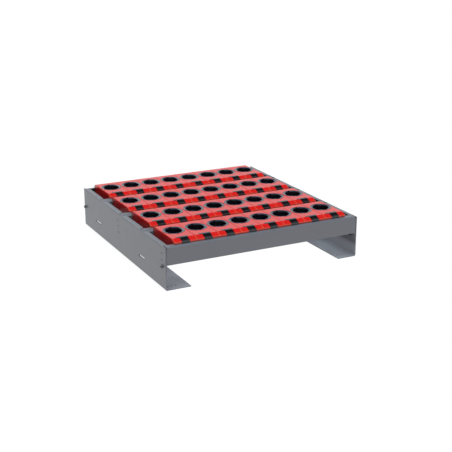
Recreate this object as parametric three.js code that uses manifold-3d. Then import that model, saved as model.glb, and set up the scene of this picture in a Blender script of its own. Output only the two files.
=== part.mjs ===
// Tool-holder storage tray: a folded sheet-metal frame on two C-shaped side panels, with four rows
// of eight plastic holder blocks. Each block hangs on the rails by its front lip and its back edge
// and has a tapered pocket for a taper-shank tool holder.
//
// Millimetres, +Z up. The origin is on the floor under the middle of the tray, -Y is the front.

import * as THREE from 'three';
import { mergeVertices } from 'three/addons/utils/BufferGeometryUtils.js';
import Module from 'manifold-3d';

const wasm = await Module();
wasm.setup();

// How many blocks there are, and how far apart they stand
const COLUMNS = 8;
const ROWS = 4;
const COLUMN_PITCH = 70.5;
const ROW_PITCH = 166.5;

// Holder block, measured from the middle of its pocket and up from the top of the frame
const BLOCK_GAP = 0.5;
const FRONT_REACH = 84;
const LIP_HEIGHT = 6;
const FRONT_SLOPE_RUN = 17;
const TOP_FRONT_HEIGHT = 12.5;
const TOP_BACK_HEIGHT = 11.5;
const BACK_REACH = 69.5;
const BACK_ROUNDING_RADIUS = 20;
const BACK_ROUNDING_TURN = Math.PI / 3;
const BODY_DROP = 45;
const LIP_REST = 8;
const LEDGE_REST = 8;
const BODY_GAP = 1;
const SEAT_GAP = 0.3;
const BLOCK_WALL = 2.5;
const BLOCK_TOP_WALL = 3;

// Pocket insert: a rim for the tool's 63.5 mm flange and a 7 in 24 tapered sleeve
const RIM_RADIUS = 32.5;
const RIM_HEIGHT = 13;
const RIM_THICKNESS = 4;
const POCKET_RADIUS = 25.25;
const SLEEVE_DROP = 50;
const SLEEVE_WALL = 2.5;
const TAPER_PER_LENGTH = 7 / 24;
const KEY_NOTCH_WIDTH = 7;
const KEY_NOTCH_DEPTH = 3;
const KEY_NOTCH_WALL = 1.5;
const POCKET_SIDES = 16;

// Label holder clipped over the front edge of a block
const LABEL_WIDTH = 25;
const LABEL_TAB_WIDTH = 35;
const LABEL_TAB_SHIFT = 3.5;
const LABEL_TAB_DEPTH = 8;
const LABEL_PROUD = 1;
const LABEL_FRONT_PROUD = 1;
const LABEL_FOOT_LIFT = 0.4;

// Side panels
const HEIGHT = 127;
const SIDE_SHEET = 3;
const SIDE_BEND_RADIUS = 3;
const SIDE_FLANGE = 15;
const END_SPACE = 19;
const WIDE_PAD = 78;
const NARROW_PAD = 63;
const FOOT_WAIST = 38;
const FRONT_PAD_LENGTH = 205;
const REAR_PAD_LENGTH = 180;
const REAR_PAD_INSET = 80;
const NOTCH_GAP = 1.5;
const NOTCH_CORNER_RADIUS = 7;
const SLOT_LENGTH = 43.5;
const SLOT_WIDTH = 5.2;
const SLOT_LEVEL = 45.4;
const SLOT_FRONT_INSET = 173.5;
const SLOT_REAR_INSET = 131.5;
const FOOT_HOLE_RADIUS = 3;
const FOOT_HOLE_INSET = 23;
const WIDE_PAD_HOLE_FIRST = 14;
const WIDE_PAD_HOLE_PITCH = 13;
const NARROW_PAD_HOLE_FIRST = 28;
const NARROW_PAD_HOLE_PITCH = 11;
const FOOT_HOLES = 3;

// Front, rear and cross rails
const RAIL_SHEET = 2.5;
const RAIL_BEND_RADIUS = 3;
const RAIL_HEIGHT = 53;
const RAIL_END_GAP = 1.2;
const RAIL_CORNER_GAP = 2.4;
const RAIL_CORNER_DROP = 5.5;
const FRONT_FLANGE = 21;
const REAR_FLANGE = 11;
const LEDGE_STEP = 2;
const CROSS_RAIL_DROP = 32;
const FLAP_DEPTH_FRONT = 45;
const FLAP_DEPTH_REAR = 26;
const FLAP_DEPTH_CROSS = 16;
const FLAP_TOP_DROP = 8;
const FLAP_BOTTOM_DROP = 71;

// Screws, nuts and the column of holes that they share
const HOLE_PITCH = 20;
const SCREW_DROP = 61;
const SCREW_INSET_FRONT = 23;
const SCREW_INSET_REAR = 13;
const CROSS_HOLE_INSET = 5;
const SPARE_HOLE_RADIUS = 2.6;
const SCREW_RADIUS = 3;
const SCREW_HOLE_GAP = 0.4;
const SCREW_HEAD_RADIUS = 5;
const SCREW_HEAD_HEIGHT = 6;
const SCREW_SOCKET_RADIUS = 2.9;
const SCREW_SOCKET_DEPTH = 3;
const SCREW_END = 3;
const NUT_RADIUS = 5.75;
const NUT_HEIGHT = 5;

// One overrun for every cut, and the steps of the round forms
const CUT = 1;
const BEND_STEPS = 4;
const HOLE_SIDES = 8;
const SCREW_SIDES = 12;
const HEX_SIDES = 6;

// Sizes that follow
const TOP_FRONT_REACH = FRONT_REACH - FRONT_SLOPE_RUN;
const TOP_BACK_REACH = BACK_REACH - BACK_ROUNDING_RADIUS * Math.sin(BACK_ROUNDING_TURN);
const BACK_EDGE_HEIGHT = TOP_BACK_HEIGHT - BACK_ROUNDING_RADIUS * (1 - Math.cos(BACK_ROUNDING_TURN));
const BODY_BACK_REACH = BACK_REACH - LEDGE_REST;
const LIP_START = FRONT_REACH - LIP_REST;
const BODY_FRONT_REACH = LIP_START - BODY_GAP;
const LEDGE_START = BODY_BACK_REACH + BODY_GAP;
const BLOCK_WIDTH = COLUMN_PITCH - BLOCK_GAP;
const WIDTH = COLUMNS * COLUMN_PITCH + 2 * (SIDE_FLANGE + END_SPACE);
const FIRST_ROW = FRONT_FLANGE + LIP_START;
const DEPTH = FIRST_ROW + (ROWS - 1) * ROW_PITCH + LEDGE_START + REAR_FLANGE;
const FRONT = -DEPTH / 2;
const REAR = DEPTH / 2;
const WEB_INNER = WIDTH / 2 - SIDE_SHEET;
const RAIL_END = WEB_INNER - RAIL_END_GAP;
const FLAP_INNER = WEB_INNER - RAIL_SHEET;
const SCREW_LEVEL = HEIGHT - SCREW_DROP;
const SCREW_HOLE_RADIUS = SCREW_RADIUS + SCREW_HOLE_GAP;
const rowY = (row) => FRONT + FIRST_ROW + row * ROW_PITCH;
const columnX = (column) => (column - (COLUMNS - 1) / 2) * COLUMN_PITCH;
const crossRailFront = (row) => rowY(row) + LEDGE_START;
const crossRailRear = (row) => rowY(row + 1) - LIP_START;
const MIDDLE_CROSS_RAIL = Math.floor((ROWS - 2) / 2);

// Materials
const paint = new THREE.MeshStandardMaterial({ color: 0x7b7f84, roughness: 0.5, metalness: 0.1 });
const red = new THREE.MeshStandardMaterial({ color: 0xd62a24, roughness: 0.4, metalness: 0 });
const zinc = new THREE.MeshStandardMaterial({ color: 0x4a4c50, roughness: 0.4, metalness: 0.9 });

// Solids from three.js geometry, and back

function toSolid(geometry) {
  const bare = geometry.index ? geometry.toNonIndexed() : geometry.clone();
  bare.deleteAttribute('normal');
  bare.deleteAttribute('uv');
  const merged = mergeVertices(bare);
  const vertProperties = new Float32Array(merged.attributes.position.array);
  const triVerts = new Uint32Array(merged.index.array);
  return new wasm.Manifold(new wasm.Mesh({ numProp: 3, vertProperties, triVerts }));
}

function toGeometry(solid) {
  const { vertProperties, triVerts } = solid.getMesh();
  const geometry = new THREE.BufferGeometry();
  geometry.setAttribute('position', new THREE.BufferAttribute(vertProperties, 3));
  geometry.setIndex(new THREE.BufferAttribute(triVerts, 1));
  geometry.computeVertexNormals();
  return geometry;
}

const X_AXIS = new THREE.Vector3(1, 0, 0);
const Y_AXIS = new THREE.Vector3(0, 1, 0);
const Z_AXIS = new THREE.Vector3(0, 0, 1);

// A full circle gets the given number of sides, because three.js doubles curveSegments on an arc
function extrude(shape, length, sides) {
  const curveSegments = sides / 2;
  return new THREE.ExtrudeGeometry(shape, { depth: length, bevelEnabled: false, curveSegments });
}

// A shape drawn in Y and Z, pushed from x0 to x1
function alongX(shape, x0, x1, sides = HOLE_SIDES) {
  const geometry = extrude(shape, x1 - x0, sides);
  geometry.applyMatrix4(new THREE.Matrix4().makeBasis(Y_AXIS, Z_AXIS, X_AXIS));
  return toSolid(geometry.translate(x0, 0, 0));
}

// A shape drawn in X and Z, pushed from y0 to y1
function alongY(shape, y0, y1) {
  const geometry = extrude(shape, y1 - y0, HOLE_SIDES);
  geometry.applyMatrix4(new THREE.Matrix4().makeRotationX(Math.PI / 2));
  return toSolid(geometry.translate(0, y1, 0));
}

// A shape drawn in X and Y, pushed from z0 to z1
function alongZ(shape, z0, z1, sides = HOLE_SIDES) {
  return toSolid(extrude(shape, z1 - z0, sides).translate(0, 0, z0));
}

function block(x0, x1, y0, y1, z0, z1) {
  const geometry = new THREE.BoxGeometry(Math.abs(x1 - x0), Math.abs(y1 - y0), Math.abs(z1 - z0));
  return toSolid(geometry.translate((x0 + x1) / 2, (y0 + y1) / 2, (z0 + z1) / 2));
}

const join = (solids) => solids.reduce((whole, solid) => whole.add(solid));
const cut = (solid, cutters) => cutters.reduce((rest, cutter) => rest.subtract(cutter), solid);

function polygon(points) {
  return new THREE.Shape(points.map(([a, b]) => new THREE.Vector2(a, b)));
}

// Section of a folded sheet, from the middle line of the sheet and the bend radius on that line
function foldedSheet(line, sheet, bendRadius) {
  const corners = line.map(([a, b]) => new THREE.Vector2(a, b));
  const left = [];
  const right = [];
  const add = (point, normal, reachLeft, reachRight) => {
    left.push(point.clone().addScaledVector(normal, reachLeft));
    right.push(point.clone().addScaledVector(normal, reachRight));
  };
  const heading = (from, to) => to.clone().sub(from).normalize();
  const leftOf = (direction) => new THREE.Vector2(-direction.y, direction.x);
  const last = corners.length - 1;
  add(corners[0], leftOf(heading(corners[0], corners[1])), sheet / 2, -sheet / 2);
  for (let i = 1; i < last; i += 1) {
    const before = heading(corners[i - 1], corners[i]);
    const after = heading(corners[i], corners[i + 1]);
    const turn = Math.atan2(before.cross(after), before.dot(after));
    const side = Math.sign(turn);
    const setback = bendRadius * Math.tan(Math.abs(turn) / 2);
    const centre = corners[i].clone().addScaledVector(before, -setback);
    centre.addScaledVector(leftOf(before), side * bendRadius);
    for (let step = 0; step <= BEND_STEPS; step += 1) {
      const outward = leftOf(before).multiplyScalar(-side);
      outward.rotateAround(new THREE.Vector2(), (turn * step) / BEND_STEPS);
      add(centre, outward, bendRadius - (side * sheet) / 2, bendRadius + (side * sheet) / 2);
    }
  }
  add(corners[last], leftOf(heading(corners[last - 1], corners[last])), sheet / 2, -sheet / 2);
  return new THREE.Shape([...left, ...right.reverse()]);
}

function circle(a, b, radius) {
  const shape = new THREE.Shape();
  shape.absarc(a, b, radius, 0, 2 * Math.PI, false);
  return shape;
}

function slot(a, b, length, width) {
  const reach = (length - width) / 2;
  const shape = new THREE.Shape();
  shape.absarc(a + reach, b, width / 2, -Math.PI / 2, Math.PI / 2, false);
  shape.absarc(a - reach, b, width / 2, Math.PI / 2, (3 * Math.PI) / 2, false);
  return shape;
}

// Side panels: side is -1 for the left one and 1 for the right one

const holeColumn = [0, 1, 2].map((step) => SCREW_LEVEL + step * HOLE_PITCH);
const middleHoleY = crossRailRear(MIDDLE_CROSS_RAIL) + CROSS_HOLE_INSET;
const frontHoleY = FRONT + SCREW_INSET_FRONT;
const rearHoleY = REAR - SCREW_INSET_REAR;
const rearFootHoleY = REAR - REAR_PAD_INSET - FOOT_HOLE_INSET;

// Plan of the piece cut out of the top flange for a rail, with the flange's corners left round
function railNotch(side, front, rear) {
  const inner = side * WEB_INNER;
  const edge = side * (WIDTH / 2 - SIDE_FLANGE);
  const shoulder = edge + side * NOTCH_CORNER_RADIUS;
  const outside = edge - side * CUT;
  const arc = [];
  for (let step = 0; step <= BEND_STEPS; step += 1) {
    const angle = (step / BEND_STEPS) * (Math.PI / 2);
    const along = NOTCH_CORNER_RADIUS * Math.sin(angle);
    const away = NOTCH_CORNER_RADIUS * (1 - Math.cos(angle));
    arc.push([shoulder - side * along, away]);
  }
  const frontArc = arc.map(([x, away]) => [x, front - away]);
  const rearArc = arc.map(([x, away]) => [x, rear + away]).reverse();
  const flangeFront = front - NOTCH_CORNER_RADIUS;
  const flangeRear = rear + NOTCH_CORNER_RADIUS;
  return polygon([
    [inner, front], ...frontArc, [outside, flangeFront],
    [outside, flangeRear], ...rearArc, [inner, rear],
  ]);
}

// The foot pad at the front of the left panel is wider than the other three. The flange narrows between
// its pads and at the rear end, with 45 degree shoulders.
function footPads(side) {
  const wide = { width: WIDE_PAD, first: WIDE_PAD_HOLE_FIRST, pitch: WIDE_PAD_HOLE_PITCH };
  const narrow = { width: NARROW_PAD, first: NARROW_PAD_HOLE_FIRST, pitch: NARROW_PAD_HOLE_PITCH };
  return { front: side < 0 ? wide : narrow, rear: narrow };
}

// Plan of what is trimmed off the foot flange, which is folded one overrun too wide
function footTrim(side) {
  const { front, rear } = footPads(side);
  const edge = (width) => side * (WIDTH / 2 - width);
  const outside = edge(WIDE_PAD + 2 * CUT);
  const waist = edge(FOOT_WAIST);
  const middleStart = FRONT + FRONT_PAD_LENGTH;
  const rearStart = REAR - REAR_PAD_INSET;
  const middleEnd = rearStart - REAR_PAD_LENGTH;
  return polygon([
    [outside, FRONT - CUT], [edge(front.width), FRONT - CUT], [edge(front.width), middleStart],
    [waist, middleStart + front.width - FOOT_WAIST], [waist, middleEnd - rear.width + FOOT_WAIST],
    [edge(rear.width), middleEnd], [edge(rear.width), rearStart],
    [waist, rearStart + rear.width - FOOT_WAIST], [waist, REAR + CUT], [outside, REAR + CUT],
  ]);
}

function sidePanel(side) {
  const web = side * (WIDTH / 2 - SIDE_SHEET / 2);
  const middle = SIDE_SHEET / 2;
  const section = foldedSheet(
    [
      [side * (WIDTH / 2 - WIDE_PAD - CUT), middle],
      [web, middle],
      [web, HEIGHT - middle],
      [side * (WIDTH / 2 - SIDE_FLANGE), HEIGHT - middle],
    ],
    SIDE_SHEET,
    SIDE_BEND_RADIUS,
  );
  const panel = alongY(section, FRONT, REAR);
  const flangeBottom = HEIGHT - SIDE_SHEET - SIDE_BEND_RADIUS;
  const flangeCuts = [];
  for (let row = 0; row < ROWS - 1; row += 1) {
    const notch = railNotch(side, crossRailFront(row) - NOTCH_GAP, crossRailRear(row) + NOTCH_GAP);
    flangeCuts.push(alongZ(notch, flangeBottom, HEIGHT + CUT));
  }
  const inner = side * WEB_INNER;
  const clear = side * (WIDTH / 2 - SIDE_FLANGE - CUT);
  const corner = (y0, y1) => block(inner, clear, y0, y1, flangeBottom, HEIGHT + CUT);
  flangeCuts.push(corner(FRONT - CUT, FRONT + FRONT_FLANGE + SEAT_GAP));
  flangeCuts.push(corner(REAR - REAR_FLANGE - NOTCH_GAP, REAR + CUT));

  const webHoles = [
    slot(FRONT + SLOT_FRONT_INSET, SLOT_LEVEL, SLOT_LENGTH, SLOT_WIDTH),
    slot(REAR - SLOT_REAR_INSET, SLOT_LEVEL, SLOT_LENGTH, SLOT_WIDTH),
    ...holeColumn.slice(1).map((z) => circle(frontHoleY, z, SPARE_HOLE_RADIUS)),
    ...holeColumn.map((z) => circle(middleHoleY, z, SPARE_HOLE_RADIUS)),
  ];
  const screwHoles = [frontHoleY, rearHoleY].map((y) => circle(y, SCREW_LEVEL, SCREW_HOLE_RADIUS));
  const x0 = Math.min(side * (WEB_INNER - CUT), side * (WIDTH / 2 + CUT));
  const x1 = x0 + SIDE_SHEET + 2 * CUT;
  const webCuts = [
    ...webHoles.map((hole) => alongX(hole, x0, x1)),
    ...screwHoles.map((hole) => alongX(hole, x0, x1, SCREW_SIDES)),
  ];

  const pads = footPads(side);
  const footCuts = [alongZ(footTrim(side), -CUT, SIDE_SHEET + CUT)];
  for (const [pad, y] of [[pads.front, FRONT + FOOT_HOLE_INSET], [pads.rear, rearFootHoleY]]) {
    for (let i = 0; i < FOOT_HOLES; i += 1) {
      const x = side * (WIDTH / 2 - pad.first - i * pad.pitch);
      footCuts.push(alongZ(circle(x, y, FOOT_HOLE_RADIUS), -CUT, SIDE_SHEET + CUT));
    }
  }
  return cut(panel, [...flangeCuts, ...webCuts, ...footCuts]);
}

// Rails

function flapPair(y0, y1, z0, z1) {
  const left = block(-WEB_INNER, -FLAP_INNER, y0, y1, z0, z1);
  const right = block(FLAP_INNER, WEB_INNER, y0, y1, z0, z1);
  return [left, right];
}

function flapHoles(y) {
  const reach = WEB_INNER + CUT;
  return alongX(circle(y, SCREW_LEVEL, SCREW_HOLE_RADIUS), -reach, reach, SCREW_SIDES);
}

function frontRail() {
  const face = FRONT + RAIL_SHEET / 2;
  const top = HEIGHT - RAIL_SHEET / 2;
  const section = foldedSheet(
    [[face, HEIGHT - RAIL_HEIGHT], [face, top], [FRONT + FRONT_FLANGE, top]],
    RAIL_SHEET,
    RAIL_BEND_RADIUS,
  );
  const flapTop = HEIGHT - FLAP_TOP_DROP;
  const flaps = flapPair(face, FRONT + FLAP_DEPTH_FRONT, HEIGHT - FLAP_BOTTOM_DROP, flapTop);
  const rail = join([alongX(section, -RAIL_END, RAIL_END), ...flaps]);
  const corner = (side) => block(
    side * (WEB_INNER - RAIL_CORNER_GAP), side * (WEB_INNER + CUT),
    FRONT - CUT, FRONT + FRONT_FLANGE + CUT, HEIGHT - RAIL_CORNER_DROP, HEIGHT + CUT,
  );
  return cut(rail, [corner(-1), corner(1), flapHoles(frontHoleY)]);
}

function rearRail() {
  const face = REAR - RAIL_SHEET / 2;
  const railTop = HEIGHT - LEDGE_STEP;
  const top = railTop - RAIL_SHEET / 2;
  const section = foldedSheet(
    [[face, HEIGHT - RAIL_HEIGHT], [face, top], [REAR - REAR_FLANGE, top]],
    RAIL_SHEET,
    RAIL_BEND_RADIUS,
  );
  const flapTop = HEIGHT - FLAP_TOP_DROP;
  const flaps = flapPair(REAR - FLAP_DEPTH_REAR, face, HEIGHT - FLAP_BOTTOM_DROP, flapTop);
  const rail = join([alongX(section, -RAIL_END, RAIL_END), ...flaps]);
  return cut(rail, [flapHoles(rearHoleY)]);
}

// Cross rail: a channel, open below, whose top steps up from the lower ledge to the upper ledge
function crossRail(row) {
  const front = crossRailFront(row);
  const rear = crossRailRear(row);
  const step = rowY(row) + BACK_REACH + SEAT_GAP;
  const foot = HEIGHT - CROSS_RAIL_DROP;
  const low = HEIGHT - LEDGE_STEP;
  const section = polygon([
    [front, foot], [front, low], [step, low], [step, HEIGHT], [rear, HEIGHT], [rear, foot],
    [rear - RAIL_SHEET, foot], [rear - RAIL_SHEET, HEIGHT - RAIL_SHEET],
    [step + RAIL_SHEET, HEIGHT - RAIL_SHEET], [step + RAIL_SHEET, low - RAIL_SHEET],
    [front + RAIL_SHEET, low - RAIL_SHEET], [front + RAIL_SHEET, foot],
  ]);
  const flapBottom = row === MIDDLE_CROSS_RAIL ? HEIGHT - FLAP_BOTTOM_DROP : foot;
  const flapTop = HEIGHT - FLAP_TOP_DROP;
  const flaps = flapPair(rear - RAIL_SHEET, rear + FLAP_DEPTH_CROSS, flapBottom, flapTop);
  return join([alongX(section, -RAIL_END, RAIL_END), ...flaps]);
}

// Holder block with its insert and label holder, from the middle of its pocket at the frame's top

function blockTopAt(y) {
  const share = (y + TOP_FRONT_REACH) / (TOP_FRONT_REACH + TOP_BACK_REACH);
  return TOP_FRONT_HEIGHT + share * (TOP_BACK_HEIGHT - TOP_FRONT_HEIGHT);
}

function housing() {
  const backSeat = SEAT_GAP - LEDGE_STEP;
  const roundedBack = [];
  for (let step = 0; step <= BEND_STEPS; step += 1) {
    const angle = (BACK_ROUNDING_TURN * step) / BEND_STEPS;
    const back = BACK_ROUNDING_RADIUS * Math.sin(angle);
    const drop = BACK_ROUNDING_RADIUS * (1 - Math.cos(angle));
    roundedBack.push([TOP_BACK_REACH + back, TOP_BACK_HEIGHT - drop]);
  }
  const outside = polygon([
    [-FRONT_REACH, SEAT_GAP],
    [-FRONT_REACH, LIP_HEIGHT],
    [-TOP_FRONT_REACH, TOP_FRONT_HEIGHT],
    ...roundedBack,
    [BACK_REACH, backSeat],
    [BODY_BACK_REACH, backSeat],
    [BODY_BACK_REACH, -BODY_DROP],
    [-BODY_FRONT_REACH, -BODY_DROP],
    [-BODY_FRONT_REACH, SEAT_GAP],
  ]);
  const frontWall = -BODY_FRONT_REACH + BLOCK_WALL;
  const backWall = BODY_BACK_REACH - BLOCK_WALL;
  const ceiling = (y) => blockTopAt(y) - BLOCK_TOP_WALL;
  const inside = polygon([
    [frontWall, -BODY_DROP - CUT],
    [frontWall, LIP_HEIGHT],
    [-TOP_FRONT_REACH, ceiling(-TOP_FRONT_REACH)],
    [TOP_BACK_REACH, ceiling(TOP_BACK_REACH)],
    [backWall, BACK_EDGE_HEIGHT],
    [backWall, -BODY_DROP - CUT],
  ]);
  const half = BLOCK_WIDTH / 2;
  const hollow = half - BLOCK_WALL;
  return alongX(outside, -half, half).subtract(alongX(inside, -hollow, hollow));
}

function turned(points) {
  const outline = points.map(([radius, z]) => new THREE.Vector2(radius, z));
  const geometry = new THREE.LatheGeometry([...outline, outline[0]], POCKET_SIDES);
  return toSolid(geometry.applyMatrix4(new THREE.Matrix4().makeRotationX(Math.PI / 2)));
}

function insert() {
  const length = RIM_HEIGHT + SLEEVE_DROP;
  const endRadius = POCKET_RADIUS - (length * TAPER_PER_LENGTH) / 2;
  const rimUnder = RIM_HEIGHT - RIM_THICKNESS;
  const neckRadius = POCKET_RADIUS - (RIM_THICKNESS * TAPER_PER_LENGTH) / 2 + SLEEVE_WALL;
  const sleeve = turned([
    [endRadius, -SLEEVE_DROP],
    [endRadius + SLEEVE_WALL, -SLEEVE_DROP],
    [neckRadius, rimUnder],
    [RIM_RADIUS, rimUnder],
    [RIM_RADIUS, RIM_HEIGHT],
    [POCKET_RADIUS, RIM_HEIGHT],
  ]);
  const halfNotch = KEY_NOTCH_WIDTH / 2;
  const notchFloor = RIM_HEIGHT - KEY_NOTCH_DEPTH;
  const notch = (y0, y1) => block(-halfNotch, halfNotch, y0, y1, notchFloor, RIM_HEIGHT + CUT);
  const notchStart = POCKET_RADIUS - CUT;
  const notchEnd = RIM_RADIUS - KEY_NOTCH_WALL;
  return cut(sleeve, [notch(-notchEnd, -notchStart), notch(notchStart, notchEnd)]);
}

// Follows the block's front edge: a wider tab on top, the plate on the slope and its foot on the lip
function labelHolder() {
  const tabBack = LABEL_TAB_DEPTH - TOP_FRONT_REACH;
  const tabOver = [
    [tabBack, blockTopAt(tabBack) - LABEL_PROUD],
    [tabBack, blockTopAt(tabBack) + LABEL_PROUD],
    [-TOP_FRONT_REACH, TOP_FRONT_HEIGHT + LABEL_PROUD],
  ];
  const tab = polygon([...tabOver, [-TOP_FRONT_REACH, TOP_FRONT_HEIGHT - LABEL_PROUD]]);
  const front = -FRONT_REACH - LABEL_FRONT_PROUD;
  const footBack = -FRONT_REACH + LABEL_FRONT_PROUD;
  const plate = polygon([
    ...tabOver,
    [front, LIP_HEIGHT + LABEL_PROUD],
    [front, SEAT_GAP + LABEL_FOOT_LIFT],
    [footBack, SEAT_GAP + LABEL_FOOT_LIFT],
    [footBack, LIP_HEIGHT - LABEL_PROUD],
  ]);
  const halfTab = LABEL_TAB_WIDTH / 2;
  return join([
    alongX(plate, -LABEL_WIDTH / 2, LABEL_WIDTH / 2),
    alongX(tab, -halfTab - LABEL_TAB_SHIFT, halfTab - LABEL_TAB_SHIFT),
  ]);
}

function holder() {
  const rimUnder = RIM_HEIGHT - RIM_THICKNESS;
  const seat = circle(0, 0, POCKET_RADIUS + SLEEVE_WALL / 2);
  const opening = alongZ(seat, -CUT, RIM_HEIGHT + CUT, POCKET_SIDES);
  const rimSeat = alongZ(circle(0, 0, RIM_RADIUS - CUT), rimUnder, RIM_HEIGHT + CUT, POCKET_SIDES);
  return join([housing().subtract(opening).subtract(rimSeat), insert(), labelHolder()]);
}

// Cap screw and nut, along X with the head's seat at x = 0 and the head towards -X

function turnedAlongX(points, sides) {
  const outline = points.map(([radius, x]) => new THREE.Vector2(radius, x));
  const geometry = new THREE.LatheGeometry(outline, sides);
  return toSolid(geometry.applyMatrix4(new THREE.Matrix4().makeRotationZ(-Math.PI / 2)));
}

function capScrew() {
  const length = SIDE_SHEET + RAIL_SHEET + NUT_HEIGHT + SCREW_END;
  const body = turnedAlongX(
    [
      [0, -SCREW_HEAD_HEIGHT],
      [SCREW_HEAD_RADIUS, -SCREW_HEAD_HEIGHT],
      [SCREW_HEAD_RADIUS, 0],
      [SCREW_RADIUS, 0],
      [SCREW_RADIUS, length],
      [0, length],
    ],
    SCREW_SIDES,
  );
  const socket = new THREE.CylinderGeometry(
    SCREW_SOCKET_RADIUS, SCREW_SOCKET_RADIUS, SCREW_SOCKET_DEPTH + CUT, HEX_SIDES,
  );
  socket.rotateZ(Math.PI / 2);
  socket.translate((SCREW_SOCKET_DEPTH - CUT) / 2 - SCREW_HEAD_HEIGHT, 0, 0);
  return body.subtract(toSolid(socket));
}

function hexNut() {
  const outer = new THREE.CylinderGeometry(NUT_RADIUS, NUT_RADIUS, NUT_HEIGHT, HEX_SIDES);
  const start = SIDE_SHEET + RAIL_SHEET;
  outer.rotateZ(Math.PI / 2);
  outer.translate(start + NUT_HEIGHT / 2, 0, 0);
  const bore = alongX(circle(0, 0, SCREW_HOLE_RADIUS), start - CUT, start + NUT_HEIGHT + CUT, SCREW_SIDES);
  return toSolid(outer).subtract(bore);
}

// The tray

const tray = new THREE.Group();

function addMesh(parent, name, geometry, material) {
  const mesh = new THREE.Mesh(geometry, material);
  mesh.name = name;
  parent.add(mesh);
  return mesh;
}

function addFrame() {
  const pieces = {
    left_side_panel: sidePanel(-1),
    right_side_panel: sidePanel(1),
    front_rail: frontRail(),
    rear_rail: rearRail(),
  };
  for (const [name, solid] of Object.entries(pieces)) {
    addMesh(tray, name, toGeometry(solid), paint);
  }
  for (let row = 0; row < ROWS - 1; row += 1) {
    addMesh(tray, `cross_rail_${row + 1}`, toGeometry(crossRail(row)), paint);
  }
}

function addFasteners() {
  const screw = toGeometry(capScrew());
  const nut = toGeometry(hexNut());
  for (const [end, y] of [['front', frontHoleY], ['rear', rearHoleY]]) {
    for (const [sideName, side] of [['left', -1], ['right', 1]]) {
      const place = new THREE.Group();
      place.position.set((side * WIDTH) / 2, y, SCREW_LEVEL);
      place.rotation.z = side > 0 ? Math.PI : 0;
      addMesh(place, `${end}_${sideName}_screw`, screw, zinc);
      addMesh(place, `${end}_${sideName}_nut`, nut, zinc);
      tray.add(place);
    }
  }
}

function addHolders() {
  const geometry = toGeometry(holder());
  for (let row = 0; row < ROWS; row += 1) {
    const rowGroup = new THREE.Group();
    rowGroup.position.set(0, rowY(row), HEIGHT);
    for (let column = 0; column < COLUMNS; column += 1) {
      const mesh = addMesh(rowGroup, `holder_r${row + 1}_c${column + 1}`, geometry, red);
      mesh.position.x = columnX(column);
    }
    tray.add(rowGroup);
  }
}

addFrame();
addFasteners();
addHolders();

export default tray;
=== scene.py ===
"""Tool-holder storage tray: a grey painted sheet-metal frame on two C-shaped side panels, with four rows of
eight red holder blocks. Each block has a black pocket insert and a black label holder on its front edge.

Metres, +Z up, -Y is the front, and the origin is on the floor under the middle of the tray.
"""

import math

import bmesh
import bpy
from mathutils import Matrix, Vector


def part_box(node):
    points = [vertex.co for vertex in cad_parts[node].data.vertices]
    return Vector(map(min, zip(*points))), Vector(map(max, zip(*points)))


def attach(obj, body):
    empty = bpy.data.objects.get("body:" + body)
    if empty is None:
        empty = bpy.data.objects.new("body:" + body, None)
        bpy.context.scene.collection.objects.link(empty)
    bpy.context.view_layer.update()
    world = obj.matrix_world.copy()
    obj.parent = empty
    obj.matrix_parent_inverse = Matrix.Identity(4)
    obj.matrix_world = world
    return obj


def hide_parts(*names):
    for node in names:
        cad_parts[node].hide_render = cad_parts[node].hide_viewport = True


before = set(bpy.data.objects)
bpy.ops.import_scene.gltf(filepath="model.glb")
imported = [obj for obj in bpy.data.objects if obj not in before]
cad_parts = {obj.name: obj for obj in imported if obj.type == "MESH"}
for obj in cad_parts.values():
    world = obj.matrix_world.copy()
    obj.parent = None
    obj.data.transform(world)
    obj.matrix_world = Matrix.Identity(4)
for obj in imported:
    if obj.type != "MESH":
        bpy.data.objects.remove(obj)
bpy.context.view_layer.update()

MM = 0.001

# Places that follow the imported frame
ROWS = 4
COLUMNS = 8
PANEL_LOW, PANEL_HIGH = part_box("left_side_panel")
RIGHT_PANEL_LOW, RIGHT_PANEL_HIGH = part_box("right_side_panel")
RAIL_LOW, RAIL_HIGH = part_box("front_rail")
REAR_RAIL_LOW, REAR_RAIL_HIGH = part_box("rear_rail")
SCREW_LOW, SCREW_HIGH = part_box("front_left_screw")
REAR_SCREW_LOW, REAR_SCREW_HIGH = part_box("rear_left_screw")
HEIGHT = PANEL_HIGH.z
FRONT = PANEL_LOW.y
REAR = PANEL_HIGH.y
HALF_WIDTH = -PANEL_LOW.x
WIDE_PAD = PANEL_HIGH.x - PANEL_LOW.x
NARROW_PAD = RIGHT_PANEL_HIGH.x - RIGHT_PANEL_LOW.x
FRONT_HOLE_Y = (SCREW_LOW.y + SCREW_HIGH.y) / 2
REAR_HOLE_Y = (REAR_SCREW_LOW.y + REAR_SCREW_HIGH.y) / 2
SCREW_LEVEL = (SCREW_LOW.z + SCREW_HIGH.z) / 2

# Holder block, measured from the middle of its pocket and up from the top of the frame
BLOCK_WIDTH = 70.3 * MM
FRONT_REACH = 84 * MM
LIP_HEIGHT = 6 * MM
TOP_FRONT_REACH = 67 * MM
TOP_FRONT_HEIGHT = 12.5 * MM
TOP_BACK_HEIGHT = 11.5 * MM
BACK_REACH = 69.5 * MM
BACK_ROUNDING_RADIUS = 20 * MM
BACK_ROUNDING_TURN = math.radians(60)
BACK_ROUNDING_STEPS = 12
BODY_FRONT_REACH = 75 * MM
BODY_BACK_REACH = 61.5 * MM
BODY_DROP = 45 * MM
SEAT_GAP = 0.3 * MM
LEDGE_STEP = 2 * MM
BLOCK_WALL = 2.5 * MM
BLOCK_TOP_WALL = 3 * MM
BLOCK_EDGE = 1.5 * MM
BLOCK_EDGE_SEGMENTS = 4
BLOCK_EDGE_ANGLE = math.radians(18)
FRONT_EDGE_MARGIN = 1.4 * MM
SEAM_MARGIN = 1.6 * MM
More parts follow.
